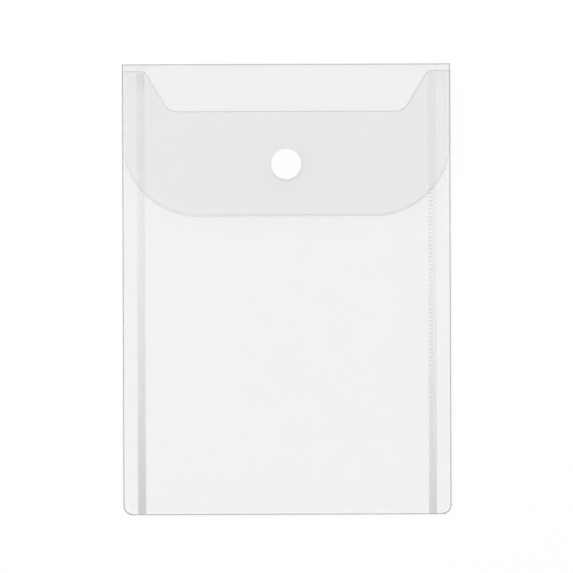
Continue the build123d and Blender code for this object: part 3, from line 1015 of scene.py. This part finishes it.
tree.links.new(both.outputs[0], output.inputs["Surface"])
floor.data.materials.append(floor_paint)
print("floor", FLOOR_SIZE, "m square")

# %% [markdown]
# The photograph is taken straight on. The wallet lies on the floor, so the camera looks straight down from
# far away, where nothing swells by being nearer. In the photograph the wallet is turned by a fifth of a
# degree and sits a few pixels off the middle, and the camera follows both.

# %% Camera
PIXEL = 0.75 * MM
PHOTO_PIXELS = 573
PHOTO_TURN = math.radians(0.2)
PHOTO_CENTRE = (-0.25 * PIXEL, 2.75 * PIXEL)
CAMERA_HEIGHT = 4.0
SENSOR = 36.0

camera_data = bpy.data.cameras.new("camera")
camera_data.sensor_width = SENSOR
camera_data.lens = SENSOR * CAMERA_HEIGHT / (PHOTO_PIXELS * PIXEL)
camera = bpy.data.objects.new("camera", camera_data)
camera.location = (*PHOTO_CENTRE, CAMERA_HEIGHT)
camera.rotation_euler = (0, 0, -PHOTO_TURN)
bpy.context.scene.collection.objects.link(camera)
bpy.context.scene.camera = camera
print("camera sees", round(PHOTO_PIXELS * PIXEL / MM, 1), "mm across")

# %% [markdown]
# Two soft boxes light the wallet, one low on the left and one low beyond the top edge, where the slopes of
# the swell don't mirror them into the camera. The cloth of a soft box is brightest in its middle. A lamp
# that fades to its rim leaves a soft gleam on bent film, where an even one would leave a hard white bar.

# %% Lamps
CLOTH_MIDDLE = (0.5, 0.5, 0)
CLOTH_REACH = 0.5
LAMPS = {
    "key_light": {"place": (-2.05, 0.2, 1.35), "width": 2.2, "height": 2.2, "power": 98.0},
    "fill_light": {"place": (1.1, 2.05, 1.3), "width": 2.9, "height": 2.2, "power": 88.0},
}


def soft_box(name, place, width, height, power):
    """A wide lamp that faces the wallet, brightest in the middle of its cloth and dark at the rim."""
    lamp = bpy.data.lights.new(name, "AREA")
    lamp.shape = "RECTANGLE"
    lamp.size = width
    lamp.size_y = height
    lamp.energy = power
    lamp.use_nodes = True
    tree = lamp.node_tree
    tree.nodes.clear()
    cloth = add(tree, "ShaderNodeNewGeometry").outputs["Parametric"]
    ends = {0: cloth, 1: CLOTH_MIDDLE}
    out = add(tree, "ShaderNodeVectorMath", ends, operation="DISTANCE").outputs["Value"]
    fading = {"Value": out, "From Max": CLOTH_REACH, "To Min": 1.0, "To Max": 0.0}
    strength = add(tree, "ShaderNodeMapRange", fading, interpolation_type="SMOOTHSTEP").outputs["Result"]
    glow = add(tree, "ShaderNodeEmission", {"Strength": strength})
    tree.links.new(glow.outputs[0], add(tree, "ShaderNodeOutputLight").inputs["Surface"])
    holder = bpy.data.objects.new(name, lamp)
    holder.location = place
    aim = -np.array(place) / np.linalg.norm(place)
    holder.rotation_euler = (math.acos(-aim[2]), 0, math.atan2(-aim[0], aim[1]))
    bpy.context.scene.collection.objects.link(holder)
    print(name, width, "by", height, "m,", power, "W")


for lamp_name, lamp_setting in LAMPS.items():
    soft_box(lamp_name, **lamp_setting)

# %% [markdown]
# The rest of the light is a pale room, a little brighter at the horizon than overhead. It fills the shadows
# and is what the flat film mirrors. Light has to pass many clear layers, two faces to each film, so Cycles
# is allowed more of them than usual.

# %% Room
HORIZON_LIGHT = 0.78
CEILING_LIGHT = 0.72
CEILING_FROM = 0.5
CLEAR_LAYERS = 32

world = bpy.data.worlds.new("studio")
world.use_nodes = True
tree = world.node_tree
tree.nodes.clear()
direction = add(tree, "ShaderNodeTexCoord").outputs["Generated"]
upwards = add(tree, "ShaderNodeSeparateXYZ", {0: direction}).outputs["Z"]
fading = {"Value": upwards, "From Max": CEILING_FROM, "To Min": HORIZON_LIGHT, "To Max": CEILING_LIGHT}
level = add(tree, "ShaderNodeMapRange", fading, interpolation_type="SMOOTHSTEP").outputs["Result"]
room = add(tree, "ShaderNodeBackground", {"Color": swatch("#ffffff"), "Strength": level})
tree.links.new(room.outputs[0], add(tree, "ShaderNodeOutputWorld").inputs["Surface"])
bpy.context.scene.world = world
bpy.context.scene.view_settings.view_transform = "Standard"
bpy.context.scene.cycles.transparent_max_bounces = CLEAR_LAYERS
print("room light", HORIZON_LIGHT, "at the horizon,", CEILING_LIGHT, "overhead")
